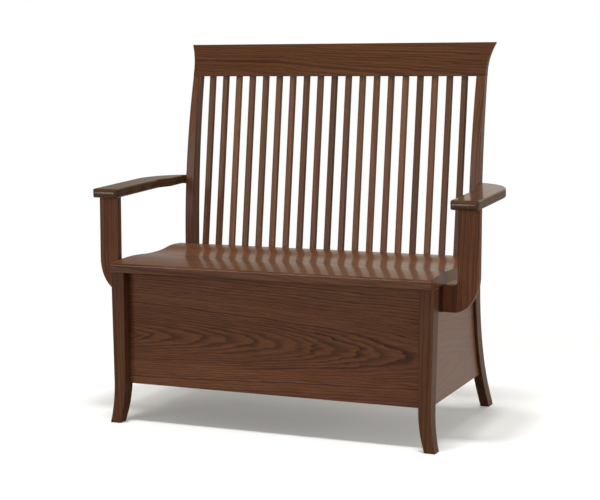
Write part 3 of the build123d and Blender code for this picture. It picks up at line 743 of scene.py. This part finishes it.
def make_screw_tree():
    """A cross-head screw on each point, facing along the point's own direction."""
    tree, start, end = new_group(
        "wood_screws", "GeometryNodeTree",
        [("Geometry", "Geometry", None), ("Head Radius", "Float", 0.004), ("Head Depth", "Float", 0.0024),
         ("Shank Radius", "Float", 0.002), ("Length", "Float", 0.03), ("Seed", "Int", 3),
         ("Material", "Material", None)],
        [("Geometry", "Geometry")],
    )
    radius, depth = start.outputs["Head Radius"], start.outputs["Head Depth"]
    shank, length = start.outputs["Shank Radius"], start.outputs["Length"]

    def cone(top, bottom, height, low):
        """A cone that rises from a depth below the head's face."""
        made = add(tree, "GeometryNodeMeshCone",
                   {"Vertices": head_sides, "Radius Top": top, "Radius Bottom": bottom, "Depth": height})
        down = add(tree, "ShaderNodeCombineXYZ", {"Z": sums(tree, "MULTIPLY", low, -1.0)}).outputs[0]
        return add(tree, "GeometryNodeTransform",
                   {"Geometry": made.outputs[0], "Translation": down}).outputs[0]

    head = cone(radius, shank, depth, depth)
    tip = sums(tree, "MULTIPLY", shank, tip_share)
    body = cone(shank, tip, sums(tree, "SUBTRACT", length, depth), length)
    cut_long = sums(tree, "MULTIPLY", radius, cross_length)
    cut_wide = sums(tree, "MULTIPLY", radius, cross_width)
    for sockets in ({"X": cut_long, "Y": cut_wide}, {"X": cut_wide, "Y": cut_long}):
        size = add(tree, "ShaderNodeCombineXYZ", {**sockets, "Z": depth}).outputs[0]
        bar = add(tree, "GeometryNodeMeshCube", {"Size": size}).outputs[0]
        head = add(tree, "GeometryNodeMeshBoolean", {"Mesh 1": head, "Mesh 2": bar},
                   operation="DIFFERENCE", solver="EXACT").outputs["Mesh"]
    whole = add(tree, "GeometryNodeJoinGeometry")
    tree.links.new(head, whole.inputs[0])
    tree.links.new(body, whole.inputs[0])

    facing = add(tree, "GeometryNodeInputNamedAttribute", {"Name": "facing"}, data_type="FLOAT_VECTOR")
    turned = add(tree, "FunctionNodeAlignRotationToVector", {"Vector": facing.outputs[0]}, axis="Z")
    row = add(tree, "GeometryNodeInstanceOnPoints",
              {"Points": start.outputs["Geometry"], "Instance": whole.outputs[0],
               "Rotation": turned.outputs[0]})
    chance = add(tree, "FunctionNodeRandomValue", {2: 0.0, 3: math.pi / 2, "Seed": start.outputs["Seed"]},
                 data_type="FLOAT")
    spin = add(tree, "ShaderNodeCombineXYZ", {"Z": chance.outputs[1]}).outputs[0]
    spun = add(tree, "GeometryNodeRotateInstances", {"Instances": row.outputs[0], "Rotation": spin})
    dress(tree, end, spun.outputs[0], start.outputs["Material"])
    return tree


# %% Find the screws of a group
def islands(shape):
    """The separate solids of a mesh, each as a list of corner places."""
    left = set(shape.verts)
    while left:
        island, to_visit = [], [left.pop()]
        while to_visit:
            vertex = to_visit.pop()
            island.append(vertex.co.copy())
            near = {edge.other_vert(vertex) for edge in vertex.link_edges} & left
            left -= near
            to_visit.extend(near)
        yield island


def screw_heads(node, axis, way):
    """Points on a node's screw heads with the way each faces: 1, -1, or 0 for towards the middle."""
    shape = cleaned(node)
    heads, facings = [], []
    for island in islands(shape):
        low = Vector([min(corner[i] for corner in island) for i in range(3)])
        high = Vector([max(corner[i] for corner in island) for i in range(3)])
        head = (low + high) / 2
        toward = way if way else -math.copysign(1, head.x)
        head[axis] = high[axis] if toward > 0 else low[axis]
        heads.append(head)
        facings.append([toward if i == axis else 0.0 for i in range(3)])
    shape.free()
    mesh = bpy.data.meshes.new(node + "_points")
    mesh.from_pydata(heads, [], [])
    facing = mesh.attributes.new("facing", "FLOAT_VECTOR", "POINT")
    for index, vector in enumerate(facings):
        facing.data[index].vector = vector
    return in_scene(node + "_points", mesh)


# %% Screws
screw_tree = make_screw_tree()
hinge_screw = {"Head Radius": 0.0026, "Shank Radius": 0.0014, "Length": 0.012, "Material": zinc}
board_screw = {"Head Radius": 0.004, "Shank Radius": 0.002, "Material": zinc}
x_axis, y_axis, z_axis = 0, 1, 2
inwards = 0
screw_groups = (
    ("hinge_frame_screws", y_axis, -1, hinge_screw),
    ("hinge_lid_screws", y_axis, 1, hinge_screw),
    ("batten_screws", z_axis, -1, {**board_screw, "Length": 0.028}),
    ("support_screws", x_axis, inwards, {**board_screw, "Length": 0.048}),
    ("arm_screws", x_axis, inwards, {**board_screw, "Length": 0.042, "Material": bronze}),
)
for node, axis, way, screw in screw_groups:
    screw_mesh = converted(screw_heads(node, axis, way), screw_tree, screw)
    stands_for(in_scene(node + "_set", screw_mesh), "screw_metal", node)
    print(node, "faces", len(screw_mesh.polygons))

# %% [markdown]
# ## Studio
# A pale floor, a white backdrop and three soft lamps. An image of a real studio could light the settle
# too, but lamps and a few nodes need no file, and each can be changed by itself.
#
# To the camera the floor is white and holds the settle's shadow, and it has a little light of its own
# there, so that the shadow stays grey. To the settle the floor is a darker grey, and somewhat paler in
# gloss, as a floor a few steps from the lamps would be. In gloss the room is bright behind the settle,
# with one low bright patch far in front, and dim elsewhere. That keeps the front panel deep in colour
# while the seat and the arms shine.
#
# The main lamp hangs high and a little forward, so that the shadow falls back between the feet. A broad
# lamp in front fills the panel, and a weak one at the right lights the side.

# %% Floor
floor_radius = 14.0
shadow_fade = (0.95, 2.0)
floor_paint = (0.7, 0.7, 0.7, 1)
floor_glow = 0.17
floor_to_settle = (0.25, 0.25, 0.25, 1)
floor_in_gloss = (0.5, 0.49, 0.47, 1)


def make_floor():
    """A wide disc that is white to the camera and keeps the shadow near the settle."""
    shape = bmesh.new()
    bmesh.ops.create_circle(shape, cap_ends=True, radius=floor_radius, segments=96)
    material = bpy.data.materials.new("pale_floor")
    material.use_nodes = True
    tree = material.node_tree
    tree.nodes.remove(tree.nodes["Principled BSDF"])
    place = add(tree, "ShaderNodeTexCoord").outputs["Object"]
    distance = add(tree, "ShaderNodeVectorMath", {0: place}, operation="LENGTH").outputs["Value"]
    path = add(tree, "ShaderNodeLightPath")
    seen = path.outputs["Is Camera Ray"]
    matt = add(tree, "ShaderNodeBsdfDiffuse", {"Color": floor_paint}).outputs[0]
    glow = add(tree, "ShaderNodeEmission", {"Color": (1, 1, 1, 1), "Strength": floor_glow}).outputs[0]
    white = add(tree, "ShaderNodeEmission", {"Color": (1, 1, 1, 1), "Strength": 1.0}).outputs[0]
    shade = mixed(tree, path.outputs["Is Glossy Ray"], floor_to_settle, floor_in_gloss)
    unseen = add(tree, "ShaderNodeBsdfDiffuse", {"Color": shade}).outputs[0]
    near = add(tree, "ShaderNodeAddShader", {0: matt, 1: glow}).outputs[0]
    share = ramped(tree, distance, *shadow_fade)
    shown = add(tree, "ShaderNodeMixShader", {0: share, 1: near, 2: white}).outputs[0]
    blend = add(tree, "ShaderNodeMixShader", {0: seen, 1: unseen, 2: shown}).outputs[0]
    feed(tree, tree.nodes["Material Output"].inputs["Surface"], blend)
    floor = placed(shape, "floor", material)


make_floor()
print("floor done")

# %% Backdrop
bright_wall = (0.34, 0.94, 0.0)
wall_spread = (0.50, 0.84)
wall_in_gloss = 0.9
wall_in_matt = 0.4
low_window = (-0.33, -0.91, 0.25)
window_spread = (0.93, 0.98)
window_in_gloss = 2.6
room_in_gloss = 0.1
room_in_matt = 0.36
warm_white = (1, 0.94, 0.80, 1)
plain_white = (1, 1, 1, 1)


def aimed(tree, direction, aim, low, high):
    """One where a direction points at an aim, and zero away from it."""
    toward = add(tree, "ShaderNodeVectorMath", {0: direction, 1: aim}, operation="DOT_PRODUCT")
    return ramped(tree, toward.outputs["Value"], low, high)


def make_world():
    """White to the camera; in gloss, bright behind the settle and low in front, and dim elsewhere."""
    world = bpy.data.worlds.new("studio")
    bpy.context.scene.world = world
    world.use_nodes = True
    tree = world.node_tree
    path = add(tree, "ShaderNodeLightPath")
    direction = add(tree, "ShaderNodeTexCoord").outputs["Generated"]
    behind = aimed(tree, direction, bright_wall, *wall_spread)
    window = aimed(tree, direction, low_window, *window_spread)
    gloss = sums(tree, "MULTIPLY_ADD", behind, wall_in_gloss, room_in_gloss)
    gloss = sums(tree, "MULTIPLY_ADD", window, window_in_gloss, gloss)
    soft = sums(tree, "MULTIPLY_ADD", behind, wall_in_matt, room_in_matt)
    shine = sums(tree, "MAXIMUM", path.outputs["Is Glossy Ray"], path.outputs["Is Transmission Ray"])
    level = sums(tree, "MULTIPLY_ADD", shine, sums(tree, "SUBTRACT", gloss, soft), soft)
    seen = path.outputs["Is Camera Ray"]
    level = sums(tree, "MULTIPLY_ADD", seen, sums(tree, "SUBTRACT", 1.0, level), level)
    feed(tree, tree.nodes["Background"].inputs["Strength"], level)
    feed(tree, tree.nodes["Background"].inputs["Color"], mixed(tree, seen, warm_white, plain_white))


make_world()
print("backdrop done")

# %% Lamps
def soft_lamp(name, place, target, width, depth, power):
    """A rectangular lamp that faces a target."""
    lamp = in_scene(name, bpy.data.lights.new(name, "AREA"))
    lamp.data.shape = "RECTANGLE"
    lamp.data.size = width
    lamp.data.size_y = depth
    lamp.data.energy = power
    lamp.location = place
    lamp.rotation_euler = (Vector(target) - Vector(place)).to_track_quat("-Z", "Y").to_euler()


soft_lamp("overhead", (0.3, -2.3, 11.0), (0, 0, 0.3), width=3.0, depth=1.8, power=1140.0)
soft_lamp("front", (-3.15, -7.6, 1.7), (0, 0, 0.7), width=3.4, depth=2.6, power=190.0)
soft_lamp("right", (3.6, -0.4, 0.9), (0, 0, 0.5), width=1.4, depth=1.0, power=40.0)
bpy.context.scene.view_settings.view_transform = "Standard"
print("lamps done")
